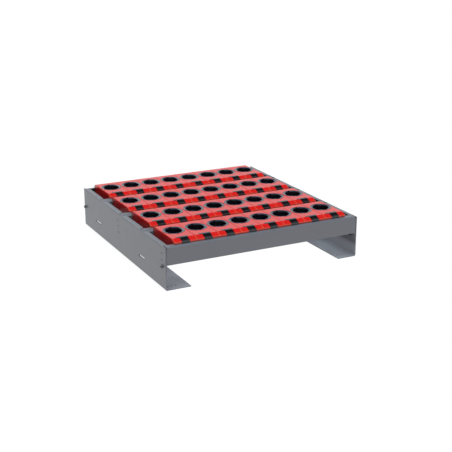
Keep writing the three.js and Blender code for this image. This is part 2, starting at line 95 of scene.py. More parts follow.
SEAM_ROUGHNESS = 0.65
END_MARGIN = 0.15 * MM

# Pocket insert
RIM_RADIUS = 32.5 * MM
RIM_HEIGHT = 13 * MM
RIM_THICKNESS = 4 * MM
RIM_EDGE = 0.9 * MM
RIM_GAP = 0.15 * MM
POCKET_RADIUS = 25.25 * MM
RIM_DISH = 1.2 * MM
POCKET_CHAMFER = 0.5 * MM
SLEEVE_DROP = 50 * MM
SLEEVE_WALL = 2.5 * MM
TAPER_PER_LENGTH = 7 / 24
# Above this height the black rim's top is painted a bluish grey sheen
RIM_SHEEN_LEVEL = 11.3 * MM
KEY_NOTCH_WIDTH = 7 * MM
KEY_NOTCH_DEPTH = 3 * MM
KEY_NOTCH_WALL = 1.5 * MM
POCKET_SIDES = 96

# Label holder
LABEL_WIDTH = 25 * MM
LABEL_TAB_WIDTH = 35 * MM
LABEL_TAB_SHIFT = 3.5 * MM
LABEL_TAB_DEPTH = 8 * MM
LABEL_PROUD = 1 * MM
LABEL_FOOT_LIFT = 0.4 * MM
LABEL_EDGE = 0.3 * MM
LABEL_WINDOW_MARGIN = 1.6 * MM
LABEL_WINDOW_DEPTH = 0.5 * MM
# Below this height the black label holder is painted grey as painted light; above the tab level a grey sheen
# is painted
LABEL_BLACK_LEVEL = 8 * MM
LABEL_TAB_LEVEL = 12.8 * MM

# Side panels
SIDE_SHEET = 3 * MM
SIDE_BEND_RADIUS = 3 * MM
SIDE_FLANGE = 15 * MM
NOTCH_GAP = 1.5 * MM
NOTCH_CORNER_RADIUS = 7 * MM
SLOT_LENGTH = 43.5 * MM
SLOT_WIDTH = 5.2 * MM
SLOT_LEVEL = 45.4 * MM
SLOT_FRONT_INSET = 173.5 * MM
SLOT_REAR_INSET = 131.5 * MM
FOOT_WAIST = 38 * MM
FRONT_PAD_LENGTH = 205 * MM
REAR_PAD_LENGTH = 180 * MM
REAR_PAD_INSET = 80 * MM
FOOT_HOLE_RADIUS = 3 * MM
FOOT_HOLE_INSET = 23 * MM
WIDE_PAD_HOLE_FIRST = 14 * MM
WIDE_PAD_HOLE_PITCH = 13 * MM
NARROW_PAD_HOLE_FIRST = 28 * MM
NARROW_PAD_HOLE_PITCH = 11 * MM
FOOT_HOLES = 3

# Rails
RAIL_SHEET = 2.5 * MM
RAIL_BEND_RADIUS = 3 * MM
RAIL_HEIGHT = 53 * MM
RAIL_END_GAP = 1.2 * MM
RAIL_CORNER_GAP = 2.4 * MM
RAIL_CORNER_DROP = 5.5 * MM
FRONT_FLANGE = 21 * MM
REAR_FLANGE = 11 * MM
CROSS_RAIL_DROP = 32 * MM
CROSS_RAIL_BEND_RADIUS = 1.375 * MM
FLAP_DEPTH_CROSS = 16 * MM
FLAP_TOP_DROP = 8 * MM
HOLE_PITCH = 20 * MM
HOLES_IN_COLUMN = 3
CROSS_HOLE_INSET = 5 * MM
SPARE_HOLE_RADIUS = 2.6 * MM
SCREW_HOLE_RADIUS = 3.4 * MM

# Screws and nuts
SCREW_RADIUS = 3 * MM
SCREW_HEAD_RADIUS = 5 * MM
SCREW_HEAD_HEIGHT = 6 * MM
SCREW_HEAD_EDGE = 0.7 * MM
SCREW_SOCKET_RADIUS = 2.9 * MM
SCREW_SOCKET_DEPTH = 3 * MM
SCREW_END = 3 * MM
NUT_RADIUS = 5.75 * MM
NUT_HEIGHT = 5 * MM
NUT_CHAMFER = 0.6 * MM
THREAD_PITCH = 1 * MM
THREAD_DEPTH = 0.35 * MM
SCREW_SIDES = 48
HEX_SIDES = 6

# Fineness of the round forms, the rounding of sheet edges and one overrun for every cut
BEND_STEPS = 10
ARC_STEPS = 12
EDGE_STEPS = 5
HOLE_SIDES = 32
SHEET_EDGE = 0.35 * MM
EDGE_SEGMENTS = 2
BEVEL_ANGLE = math.radians(35)
FLAT_FACE_WEIGHT = 50
COLOUR_FADE = 0.4 * MM
SMOOTH_ANGLE = math.radians(32)
CUT = 1 * MM

# Colours, and what all surfaces share
PAINT_GREY = (0.146, 0.151, 0.171)
BLOCK_RED = (0.72, 0.013, 0.012)
# Painted light: the front lip lighter and more orange than the rest, for the light that falls on it
LIP_PAINTED_LIGHT = (0.72, 0.055, 0.028)
# Painted highlight: orange lines down the sides of a block's sloping front, for light caught at the rounded
# seams
PAINTED_EDGE_HIGHLIGHT = (0.83, 0.14, 0.06)
INSERT_BLACK = (0.004, 0.004, 0.007)
# Painted sheen: the bluish grey of the black rim's top in reflected light
RIM_PAINTED_SHEEN = (0.035, 0.055, 0.08)
# Painted light: grey on the label holder's lower part and a grey sheen on its tab's top; its own colour is
# the black
LABEL_PAINTED_LIGHT_GREY = (0.034, 0.032, 0.035)
LABEL_BLACK = (0.006, 0.0055, 0.006)
TAB_PAINTED_SHEEN = (0.06, 0.06, 0.07)
# Painted shade: near-black inside the screw socket's radius; the head beyond it has its own grey
SOCKET_PAINTED_SHADE = (0.01, 0.01, 0.011)
HEAD_GREY = (0.24, 0.24, 0.25)
NUT_GREY = (0.08, 0.08, 0.084)
IOR = 1.5
NOISE_ROUGHNESS = 0.5

# Camera, fitted to the photograph
CAMERA_PLACE = (-1.3068, -2.6402, 1.0176)
CAMERA_HEADING = 0.4725
CAMERA_PITCH = 0.3189
CAMERA_LENS = 77.27
SENSOR_WIDTH = 36

# Floor and light
FLOOR_SIZE = 60
FLOOR_DROP = 0.3 * MM
FLOOR_WHITE = 0.9
FLOOR_GLOW = 1.02
FLOOR_GLOW_SHARE = 0.93
SHADE_SHARE = 0.25
SHADE_EDGE = 60 * MM
SKY_LEVEL = 0.192
HORIZON_GLOW = 0.8
HORIZON_GLOW_TOP = 0.42
OVERHEAD_GLOW = 0.024
OVERHEAD_GLOW_START = 0.55
TOP_BOX_GLOW = 0.72
TOP_BOX_START = 0.93
TOP_BOX_FULL = 0.97
SUN_WIDTH = math.radians(30)
WHITE = (1, 1, 1)
COOL_WHITE = (1, 1.2, 1.32)
SUNS = {
    "front_sun": {"turn": 0, "rise": math.radians(60), "strength": 0.85, "colour": WHITE},
    "top_sun": {"turn": 0, "rise": math.radians(85), "strength": 1.75, "colour": COOL_WHITE},
    "back_sun": {"turn": math.pi, "rise": math.radians(30), "strength": 0.26, "colour": WHITE},
}
INNER_LIGHT_WIDTH = 600 * MM
INNER_LIGHT_DEPTH = 360 * MM
INNER_LIGHT_HEIGHT = 44 * MM
INNER_LIGHT_PLACE = -240 * MM
INNER_LIGHT_POWER = 1.08
INNER_LIGHT_COLOUR = (0.87, 0.95, 0.96)


def row_y(row):
    """Middle of the pockets of a row, counted from 0 at the front."""
    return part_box(f"holder_r{row + 1}_c1")[1].y - BACK_REACH


def column_x(column):
    low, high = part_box(f"holder_r1_c{column + 1}")
    return (low.x + high.x) / 2


# Meshes and solids


def new_object(name, bm):
    mesh = bpy.data.meshes.new(name)
    bmesh.ops.recalc_face_normals(bm, faces=bm.faces)
    bm.to_mesh(mesh)
    bm.free()
    made = bpy.data.objects.new(name, mesh)
    bpy.context.scene.collection.objects.link(made)
    return made


def apply_modifiers(target):
    graph = bpy.context.evaluated_depsgraph_get()
    mesh = bpy.data.meshes.new_from_object(target.evaluated_get(graph))
    old = target.data
    target.modifiers.clear()
    target.data = mesh
    mesh.name = old.name
    bpy.data.meshes.remove(old)
    return target


def combine(target, others, operation):
    for other in others:
        modifier = target.modifiers.new(operation.lower(), "BOOLEAN")
        modifier.operation = operation
        modifier.solver = "EXACT"
        modifier.object = other
    apply_modifiers(target)
    for other in others:
        mesh = other.data
        bpy.data.objects.remove(other)
        bpy.data.meshes.remove(mesh)
    return target


def cut(target, cutters):
    return combine(target, cutters, "DIFFERENCE")


def join(target, others):
    return combine(target, others, "UNION")


def rounded(target, width, segments=EDGE_SEGMENTS, angle=BEVEL_ANGLE):
    modifier = target.modifiers.new("edges", "BEVEL")
    modifier.width = width
    modifier.segments = segments
    modifier.limit_method = "ANGLE"
    modifier.angle_limit = angle
    modifier.use_clamp_overlap = True
    modifier.harden_normals = False
    return apply_modifiers(target)


def shaded(target, angle=SMOOTH_ANGLE):
    """Smooth shading, with edges sharper than the angle left crisp and flat faces kept flat."""
    target.data.shade_smooth()
    target.data.set_sharp_from_angle(angle=angle)
    modifier = target.modifiers.new("normals", "WEIGHTED_NORMAL")
    modifier.keep_sharp = True
    modifier.weight = FLAT_FACE_WEIGHT
    return apply_modifiers(target)


PLACES = {
    "x": lambda a, b, c: (c, a, b),
    "y": lambda a, b, c: (a, c, b),
    "z": lambda a, b, c: (a, b, c),
}


def prism(name, outline, axis, low, high):
    """A solid with that outline, in the two other axes' coordinates, pushed along an axis."""
    bm = bmesh.new()
    place = PLACES[axis]
    start = [bm.verts.new(place(a, b, low)) for a, b in outline]
    end = [bm.verts.new(place(a, b, high)) for a, b in outline]
    bm.faces.new(start)
    bm.faces.new(list(reversed(end)))
    for i in range(len(outline)):
        j = (i + 1) % len(outline)
        bm.faces.new((start[j], start[i], end[i], end[j]))
    return new_object(name, bm)


def box_solid(name, x0, x1, y0, y1, z0, z1):
    outline = [(x0, y0), (x1, y0), (x1, y1), (x0, y1)]
    return prism(name, outline, "z", z0, z1)


def lathe(name, profile, sides, closed):
    """Turns (radius, z) points about Z. An open profile is capped by flat faces at its two ends."""
    bm = bmesh.new()
    rings = []
    for radius, z in profile:
        ring = []
        for i in range(sides):
            angle = 2 * math.pi * i / sides
            ring.append(bm.verts.new((radius * math.cos(angle), radius * math.sin(angle), z)))
        rings.append(ring)
    pairs = list(zip(rings, rings[1:]))
    if closed:
        pairs.append((rings[-1], rings[0]))
    else:
        bm.faces.new(rings[0])
        bm.faces.new(list(reversed(rings[-1])))
    for lower, upper in pairs:
        for i in range(sides):
            j = (i + 1) % sides
            bm.faces.new((lower[i], lower[j], upper[j], upper[i]))
    return new_object(name, bm)


def arc(centre_a, centre_b, radius, start, end, steps=ARC_STEPS):
    points = []
    for step in range(steps + 1):
        angle = start + (end - start) * step / steps
        points.append((centre_a + radius * math.cos(angle), centre_b + radius * math.sin(angle)))
    return points


def circle(a, b, radius, sides=HOLE_SIDES):
    return arc(a, b, radius, 0, 2 * math.pi * (sides - 1) / sides, sides - 1)


def slot(a, b, length, width):
    reach = (length - width) / 2
    right = arc(a + reach, b, width / 2, -math.pi / 2, math.pi / 2)
    left = arc(a - reach, b, width / 2, math.pi / 2, 3 * math.pi / 2)
    return right + left


def folded_sheet(line, sheet, bend_radius):
    """Outline of a folded sheet, from the sheet's middle line and the bend radius on that line."""
    corners = [Vector(point) for point in line]
    left = []
    right = []

    def heading(start, end):
        return (end - start).normalized()

    def left_of(direction):
        return Vector((-direction.y, direction.x))

    def add(point, normal, to_left, to_right):
        left.append(point + normal * to_left)
        right.append(point + normal * to_right)

    add(corners[0], left_of(heading(corners[0], corners[1])), sheet / 2, -sheet / 2)
    for last, corner, following in zip(corners, corners[1:], corners[2:]):
        before = heading(last, corner)
        after = heading(corner, following)
        turn = math.atan2(before.x * after.y - before.y * after.x, before.dot(after))
        side = math.copysign(1, turn)
        setback = bend_radius * math.tan(abs(turn) / 2)
        centre = corner - before * setback + left_of(before) * side * bend_radius
        start = math.atan2(-side * left_of(before).y, -side * left_of(before).x)
        for step in range(BEND_STEPS + 1):
            angle = start + turn * step / BEND_STEPS
            outward = Vector((math.cos(angle), math.sin(angle)))
            add(centre, outward, bend_radius - side * sheet / 2, bend_radius + side * sheet / 2)
    add(corners[-1], left_of(heading(corners[-2], corners[-1])), sheet / 2, -sheet / 2)
    return [tuple(point) for point in left + right[::-1]]


def dress(piece, material, body, slot_name, *replaced):
    """Gives a piece its material and the body it rides on, and hides the nodes that it stands for."""
    piece.data.materials.clear()
    piece.data.materials.append(material)
    if replaced:
        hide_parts(*replaced)
    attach(piece, body)


# Materials


class Nodes:
    """A material's or world's node tree, with short calls to add and link nodes."""

    def __init__(self, owner):
        owner.use_nodes = True
        self.tree = owner.node_tree
        self.tree.nodes.clear()

    def add(self, kind, **settings):
        node = self.tree.nodes.new(kind)
        for name, value in settings.items():
            setattr(node, name, value)
        return node

    def link(self, output, target):
        self.tree.links.new(output, target)

    def noise(self, coordinates, scale, detail):
        node = self.add("ShaderNodeTexNoise")
        node.inputs["Scale"].default_value = scale
        node.inputs["Detail"].default_value = detail
        node.inputs["Roughness"].default_value = NOISE_ROUGHNESS
        self.link(coordinates, node.inputs["Vector"])
        return node.outputs["Fac"]

    def between(self, factor, low, high):
        """Maps a 0 to 1 value to the range from low to high."""
        node = self.add("ShaderNodeMapRange")
        node.inputs["To Min"].default_value = low
        node.inputs["To Max"].default_value = high
        self.link(factor, node.inputs["Value"])
        return node.outputs["Result"]

    def math(self, operation, *values):
        node = self.add("ShaderNodeMath", operation=operation)
        for target, value in zip(node.inputs, values):
            if isinstance(value, (int, float)):
                target.default_value = value
            else:
                self.link(value, target)
        return node.outputs["Value"]

    def two_colours(self, factor, first, second):
        node = self.add("ShaderNodeMix", data_type="RGBA")
        node.inputs["A"].default_value = (*first, 1)
        node.inputs["B"].default_value = (*second, 1)
        self.link(factor, node.inputs["Factor"])
        return node.outputs["Result"]


def scaled(colour, share):
    return tuple(channel * share for channel in colour)


def height_on(nodes, place):
    split = nodes.add("ShaderNodeSeparateXYZ")
    nodes.link(place, split.inputs["Vector"])
    return split.outputs["Z"]


def distance_from_axis(nodes, place):
    """The distance from the piece's upright axis."""
    flat = nodes.add("ShaderNodeVectorMath", operation="MULTIPLY")
    nodes.link(place, flat.inputs[0])
    flat.inputs[1].default_value = (1, 1, 0)
    length = nodes.add("ShaderNodeVectorMath", operation="LENGTH")
    nodes.link(flat.outputs["Vector"], length.inputs[0])
    return length.outputs["Value"]


def before_top(nodes, split):
    """How far a place is in front of a block's flat top."""
    return nodes.math("SUBTRACT", -TOP_FRONT_REACH, split.outputs["Y"])


def into_sides(nodes, split, margin):
    """How far a place is inside the margins at a block's sides, which stop just short of its end faces."""
    aside = nodes.math("ABSOLUTE", split.outputs["X"])
    near_end = nodes.math("SUBTRACT", aside, BLOCK_WIDTH / 2 - margin)
    short_of_end = nodes.math("SUBTRACT", BLOCK_WIDTH / 2 - END_MARGIN, aside)
    return nodes.math("MINIMUM", near_end, short_of_end)


def into_front_lip(nodes, place):
    """How far a place is down a block's front lip, from just above its edge, where light is painted on."""
    split = nodes.add("ShaderNodeSeparateXYZ")
    nodes.link(place, split.inputs["Vector"])
    down = nodes.math("SUBTRACT", LIP_HEIGHT + FRONT_EDGE_MARGIN / 2, split.outputs["Z"])
    return nodes.math("MINIMUM", down, before_top(nodes, split))


def into_painted_edge_highlights(nodes, place):
    """How far a place is inside the narrow side margins of a block's sloping front, painted as highlights.
    """
    split = nodes.add("ShaderNodeSeparateXYZ")
    nodes.link(place, split.inputs["Vector"])
    at_side = into_sides(nodes, split, FRONT_EDGE_MARGIN)
    return nodes.math("MINIMUM", at_side, before_top(nodes, split))


def seam_roughness(nodes, place):
    """Rougher margins at the two sides of a block's top, where it meets its neighbours."""
    split = nodes.add("ShaderNodeSeparateXYZ")
    nodes.link(place, split.inputs["Vector"])
    behind = nodes.math("MULTIPLY", before_top(nodes, split), -1)
    ramp = nodes.add("ShaderNodeMapRange")
    ramp.inputs["From Max"].default_value = COLOUR_FADE
    ramp.inputs["To Max"].default_value = SEAM_ROUGHNESS
    at_side = into_sides(nodes, split, SEAM_MARGIN)
    nodes.link(nodes.math("MINIMUM", at_side, behind), ramp.inputs["Value"])
    return ramp.outputs["Result"]


def banded(nodes, place, under, bands):
    """Colours that change over a piece. A band is what is measured, from where, a fade and a colour."""
    for measure, level, fade, colour in bands:
        ramp = nodes.add("ShaderNodeMapRange")
        ramp.inputs["From Min"].default_value = level
        ramp.inputs["From Max"].default_value = level + fade
        nodes.link(measure(nodes, place), ramp.inputs["Value"])
        mix = nodes.add("ShaderNodeMix", data_type="RGBA")
        nodes.link(ramp.outputs["Result"], mix.inputs["Factor"])
        nodes.link(under, mix.inputs["A"])
        mix.inputs["B"].default_value = (*colour, 1)
        under = mix.outputs["Result"]
    return under


def surface(name, colour, look, bands=(), rough_part=None):
    """A painted or moulded surface: cloudy colour, uneven gloss and a fine grain.

    The rough part gives the roughness of the places that are rougher than the rest.
    """
    material = bpy.data.materials.new(name)
    nodes = Nodes(material)
    place = nodes.add("ShaderNodeTexCoord").outputs["Object"]
    shader = nodes.add("ShaderNodeBsdfPrincipled")
    output = nodes.add("ShaderNodeOutputMaterial")
    nodes.link(shader.outputs["BSDF"], output.inputs["Surface"])
    clouds = nodes.noise(place, look["cloud_scale"], look["cloud_detail"])
    darker = scaled(colour, 1 - look["cloud_share"])
    lighter = scaled(colour, 1 + look["cloud_share"])
    cloudy = nodes.two_colours(clouds, darker, lighter)
    nodes.link(banded(nodes, place, cloudy, bands), shader.inputs["Base Color"])
    smears = nodes.noise(place, look["smear_scale"], look["smear_detail"])
    gloss = nodes.between(smears, look["smoothest"], look["roughest"])
    if rough_part:
        gloss = nodes.math("MAXIMUM", gloss, rough_part(nodes, place))
    nodes.link(gloss, shader.inputs["Roughness"])
    grain = nodes.noise(place, look["grain_scale"], look["grain_detail"])
    bump = nodes.add("ShaderNodeBump")
    bump.inputs["Strength"].default_value = look["grain_strength"]
    bump.inputs["Distance"].default_value = look["grain_height"]
    nodes.link(grain, bump.inputs["Height"])
    nodes.link(bump.outputs["Normal"], shader.inputs["Normal"])
    shader.inputs["Metallic"].default_value = look.get("metallic", 0)
    shader.inputs["IOR"].default_value = IOR
    return material


PAINT_LOOK = {
    "cloud_scale": 9,
    "cloud_detail": 2,
    "cloud_share": 0.03,
    "smear_scale": 25,
    "smear_detail": 3,
    "smoothest": 0.28,
    "roughest": 0.36,
    "grain_scale": 700,
    "grain_detail": 1,
    "grain_strength": 0.5,
    "grain_height": 0.006 * MM,
}
BLOCK_LOOK = {
    "cloud_scale": 18,
    "cloud_detail": 2,
    "cloud_share": 0.04,
    "smear_scale": 45,
    "smear_detail": 3,
    "smoothest": 0.15,
    "roughest": 0.2,
    "grain_scale": 1200,
    "grain_detail": 1,
    "grain_strength": 0.15,
    "grain_height": 0.003 * MM,
}
INSERT_LOOK = {
    "cloud_scale": 30,
    "cloud_detail": 2,
    "cloud_share": 0.15,
    "smear_scale": 60,
    "smear_detail": 3,
    "smoothest": 0.12,
    "roughest": 0.18,
    "grain_scale": 1200,
    "grain_detail": 1,
    "grain_strength": 0.5,
    "grain_height": 0.003 * MM,
}
LABEL_LOOK = {
    "cloud_scale": 40,
    "cloud_detail": 2,
    "cloud_share": 0.15,
    "smear_scale": 80,
    "smear_detail": 3,
    "smoothest": 0.18,
    "roughest": 0.25,
    "grain_scale": 1300,
    "grain_detail": 1,
    "grain_strength": 0.5,
    "grain_height": 0.004 * MM,
}
STEEL_LOOK = {
    "cloud_scale": 150,
    "cloud_detail": 3,
    "cloud_share": 0.15,
    "smear_scale": 250,
    "smear_detail": 3,
    "smoothest": 0.25,
    "roughest": 0.42,
    "grain_scale": 2500,
    "grain_detail": 1,
    "grain_strength": 0.5,
    "grain_height": 0.004 * MM,
    "metallic": 1,
}

BLOCK_BANDS = [
    # Painted light: a lighter, more orange front lip
    (into_front_lip, 0, COLOUR_FADE, LIP_PAINTED_LIGHT),
    # Painted highlight: the orange lines at the sides of the sloping front
    (into_painted_edge_highlights, 0, COLOUR_FADE, PAINTED_EDGE_HIGHLIGHT),
]
# Painted sheen on the rim's top
RIM_SHEEN_BANDS = [(height_on, RIM_SHEEN_LEVEL, COLOUR_FADE, RIM_PAINTED_SHEEN)]
# Painted light: the lower part grey, the holder's own black above it, and a painted sheen on the tab
LABEL_LIGHT_BANDS = [
    (height_on, LABEL_BLACK_LEVEL, COLOUR_FADE, LABEL_BLACK),
    (height_on, LABEL_TAB_LEVEL, COLOUR_FADE / 2, TAB_PAINTED_SHEEN),
]
# Painted shade: near-black inside the socket's radius, grey beyond it
SCREW_BANDS = [(distance_from_axis, SCREW_SOCKET_RADIUS, COLOUR_FADE / 2, HEAD_GREY)]

PAINT = surface("grey_powder_coat", PAINT_GREY, PAINT_LOOK)
RED = surface("red_plastic", BLOCK_RED, BLOCK_LOOK, BLOCK_BANDS, seam_roughness)
BLACK = surface("black_insert_plastic", INSERT_BLACK, INSERT_LOOK, RIM_SHEEN_BANDS)
LABEL = surface("black_label_plastic", LABEL_PAINTED_LIGHT_GREY, LABEL_LOOK, LABEL_LIGHT_BANDS)
STEEL = surface("zinc_with_painted_socket_shade", SOCKET_PAINTED_SHADE, STEEL_LOOK, SCREW_BANDS)
NUT_STEEL = surface("nut_zinc", NUT_GREY, STEEL_LOOK)


# Side panels


def web_holes():
    levels = [SCREW_LEVEL + step * HOLE_PITCH for step in range(HOLES_IN_COLUMN)]
    middle_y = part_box("cross_rail_2")[1].y - FLAP_DEPTH_CROSS + CROSS_HOLE_INSET
    holes = [
        slot(FRONT + SLOT_FRONT_INSET, SLOT_LEVEL, SLOT_LENGTH, SLOT_WIDTH),
        slot(REAR - SLOT_REAR_INSET, SLOT_LEVEL, SLOT_LENGTH, SLOT_WIDTH),
        circle(FRONT_HOLE_Y, SCREW_LEVEL, SCREW_HOLE_RADIUS),
        circle(REAR_HOLE_Y, SCREW_LEVEL, SCREW_HOLE_RADIUS),
    ]
    holes += [circle(FRONT_HOLE_Y, z, SPARE_HOLE_RADIUS) for z in levels[1:]]
    holes += [circle(middle_y, z, SPARE_HOLE_RADIUS) for z in levels]
    return holes


def rail_notch(side, front, rear):
    """Plan of the piece cut out of the top flange for a rail, with the flange's corners left round."""
    inner = side * (HALF_WIDTH - SIDE_SHEET)
    edge = side * (HALF_WIDTH - SIDE_FLANGE)
    outside = edge - side * CUT
    front_arc = []
    rear_arc = []
    for step in range(ARC_STEPS + 1):
        angle = step / ARC_STEPS * math.pi / 2
        x = edge + side * NOTCH_CORNER_RADIUS * (1 - math.sin(angle))
        away = NOTCH_CORNER_RADIUS * (1 - math.cos(angle))
        front_arc.append((x, front - away))
        rear_arc.append((x, rear + away))
    outside_front = (outside, front - NOTCH_CORNER_RADIUS)
    outside_rear = (outside, rear + NOTCH_CORNER_RADIUS)
    return [(inner, front), *front_arc, outside_front, outside_rear, *rear_arc[::-1], (inner, rear)]


def foot_trim(side):
    """Plan of what is trimmed off the foot flange, which narrows between its pads and at the rear end."""
    front_width = WIDE_PAD if side < 0 else NARROW_PAD
    outside = side * (HALF_WIDTH - WIDE_PAD - 2 * CUT)
    waist = side * (HALF_WIDTH - FOOT_WAIST)
    front_edge = side * (HALF_WIDTH - front_width)
    rear_edge = side * (HALF_WIDTH - NARROW_PAD)
    front_end = FRONT + FRONT_PAD_LENGTH
    rear_end = REAR - REAR_PAD_INSET
    rear_start = rear_end - REAR_PAD_LENGTH
    rear_shoulder = NARROW_PAD - FOOT_WAIST
    edge = [
        (outside, FRONT - CUT),
        (front_edge, FRONT - CUT),
        (front_edge, front_end),
        (waist, front_end + front_width - FOOT_WAIST),
        (waist, rear_start - rear_shoulder),
        (rear_edge, rear_start),
        (rear_edge, rear_end),
        (waist, rear_end + rear_shoulder),
        (waist, REAR + CUT),
        (outside, REAR + CUT),
    ]
    return prism("trim", edge, "z", -CUT, SIDE_SHEET + CUT)


def foot_holes(side):
    """Three holes across each pad, near the pad's outer end."""
    narrow = (NARROW_PAD_HOLE_FIRST, NARROW_PAD_HOLE_PITCH)
    wide = (WIDE_PAD_HOLE_FIRST, WIDE_PAD_HOLE_PITCH)
    rows = [(FRONT + FOOT_HOLE_INSET, *(wide if side < 0 else narrow))]
    rows.append((REAR - REAR_PAD_INSET - FOOT_HOLE_INSET, *narrow))
    holes = []
    for y, first, pitch in rows:
        for i in range(FOOT_HOLES):
            x = side * (HALF_WIDTH - first - i * pitch)
            holes.append(prism("hole", circle(x, y, FOOT_HOLE_RADIUS), "z", -CUT, SIDE_SHEET + CUT))
    return holes


def side_panel(name, side):
    middle = SIDE_SHEET / 2
    web = side * (HALF_WIDTH - middle)
    line = [
        (side * (HALF_WIDTH - WIDE_PAD - CUT), middle),
        (web, middle),
        (web, HEIGHT - middle),
        (side * (HALF_WIDTH - SIDE_FLANGE), HEIGHT - middle),
    ]
    panel = prism(name, folded_sheet(line, SIDE_SHEET, SIDE_BEND_RADIUS), "y", FRONT, REAR)
    under = HEIGHT - SIDE_SHEET - SIDE_BEND_RADIUS
    over = HEIGHT + CUT
    cutters = []
    for row in range(ROWS - 1):
        low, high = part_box(f"cross_rail_{row + 1}")
        front = low.y - NOTCH_GAP
        rear = high.y - FLAP_DEPTH_CROSS + NOTCH_GAP
        cutters.append(prism("notch", rail_notch(side, front, rear), "z", under, over))
    inner = side * (HALF_WIDTH - SIDE_SHEET)
    clear = side * (HALF_WIDTH - SIDE_FLANGE - CUT)
    front_end = FRONT + FRONT_FLANGE + SEAT_GAP
    rear_start = REAR - REAR_FLANGE - NOTCH_GAP
    cutters.append(box_solid("corner", inner, clear, FRONT - CUT, front_end, under, over))
    cutters.append(box_solid("corner", inner, clear, rear_start, REAR + CUT, under, over))
    x0, x1 = sorted((side * (HALF_WIDTH - SIDE_SHEET - CUT), side * (HALF_WIDTH + CUT)))
    cutters += [prism("hole", hole, "x", x0, x1) for hole in web_holes()]
    cutters += [foot_trim(side), *foot_holes(side)]
    return shaded(rounded(cut(panel, cutters), SHEET_EDGE))


# Rails


def flap_pair(y0, y1, z0, z1):
    web = HALF_WIDTH - SIDE_SHEET
    left = box_solid("flap", -web, -web + RAIL_SHEET, y0, y1, z0, z1)
    right = box_solid("flap", web - RAIL_SHEET, web, y0, y1, z0, z1)
    return [left, right]


def flap_hole(y):
    return prism("hole", circle(y, SCREW_LEVEL, SCREW_HOLE_RADIUS), "x", -HALF_WIDTH, HALF_WIDTH)


def rail(name, section, flaps, cutters=()):
    end = HALF_WIDTH - SIDE_SHEET - RAIL_END_GAP
    made = join(prism(name, section, "x", -end, end), flaps)
    if cutters:
        cut(made, cutters)
    return shaded(rounded(made, SHEET_EDGE))


def front_rail():
    face = FRONT + RAIL_SHEET / 2
    top = HEIGHT - RAIL_SHEET / 2
    line = [(face, HEIGHT - RAIL_HEIGHT), (face, top), (FRONT + FRONT_FLANGE, top)]
    section = folded_sheet(line, RAIL_SHEET, RAIL_BEND_RADIUS)
    flaps = flap_pair(face, RAIL_HIGH.y, RAIL_LOW.z, HEIGHT - FLAP_TOP_DROP)
    cutters = [flap_hole(FRONT_HOLE_Y)]
    web = HALF_WIDTH - SIDE_SHEET
    corner = (FRONT - CUT, FRONT + FRONT_FLANGE + CUT, HEIGHT - RAIL_CORNER_DROP, HEIGHT + CUT)
    for side in (-1, 1):
        x0, x1 = sorted((side * (web - RAIL_CORNER_GAP), side * (web + CUT)))
        cutters.append(box_solid("corner", x0, x1, *corner))
    return rail("front_rail_sheet", section, flaps, cutters)


def rear_rail():
    face = REAR - RAIL_SHEET / 2
    top = REAR_RAIL_HIGH.z - RAIL_SHEET / 2
    line = [(face, HEIGHT - RAIL_HEIGHT), (face, top), (REAR - REAR_FLANGE, top)]
    section = folded_sheet(line, RAIL_SHEET, RAIL_BEND_RADIUS)
    flaps = flap_pair(REAR_RAIL_LOW.y, face, REAR_RAIL_LOW.z, HEIGHT - FLAP_TOP_DROP)
    return rail("rear_rail_sheet", section, flaps, [flap_hole(REAR_HOLE_Y)])


def cross_rail(row):
    """A channel, open below, whose top steps up from the lower ledge to the upper ledge."""
    low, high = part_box(f"cross_rail_{row + 1}")
    front = low.y + RAIL_SHEET / 2
    rear = high.y - FLAP_DEPTH_CROSS - RAIL_SHEET / 2
    step = row_y(row) + BACK_REACH + SEAT_GAP + RAIL_SHEET / 2
    foot = HEIGHT - CROSS_RAIL_DROP
    upper = HEIGHT - RAIL_SHEET / 2
    lower = upper - LEDGE_STEP
    line = [
        (front, foot),
        (front, lower),
        (step - LEDGE_STEP / 2, lower),
        (step + LEDGE_STEP / 2, upper),
        (rear, upper),
        (rear, foot),
    ]
    section = folded_sheet(line, RAIL_SHEET, CROSS_RAIL_BEND_RADIUS)
    flaps = flap_pair(rear, high.y, low.z, HEIGHT - FLAP_TOP_DROP)
    return rail(f"cross_rail_sheet_{row + 1}", section, flaps)


# Holder blocks


def block_top_at(y):
    share = (y + TOP_FRONT_REACH) / (TOP_FRONT_REACH + back_start())
    return TOP_FRONT_HEIGHT + share * (TOP_BACK_HEIGHT - TOP_FRONT_HEIGHT)


def back_start():
    """Where the block's flat top ends and its rounded back begins."""
    return BACK_REACH - BACK_ROUNDING_RADIUS * math.sin(BACK_ROUNDING_TURN)


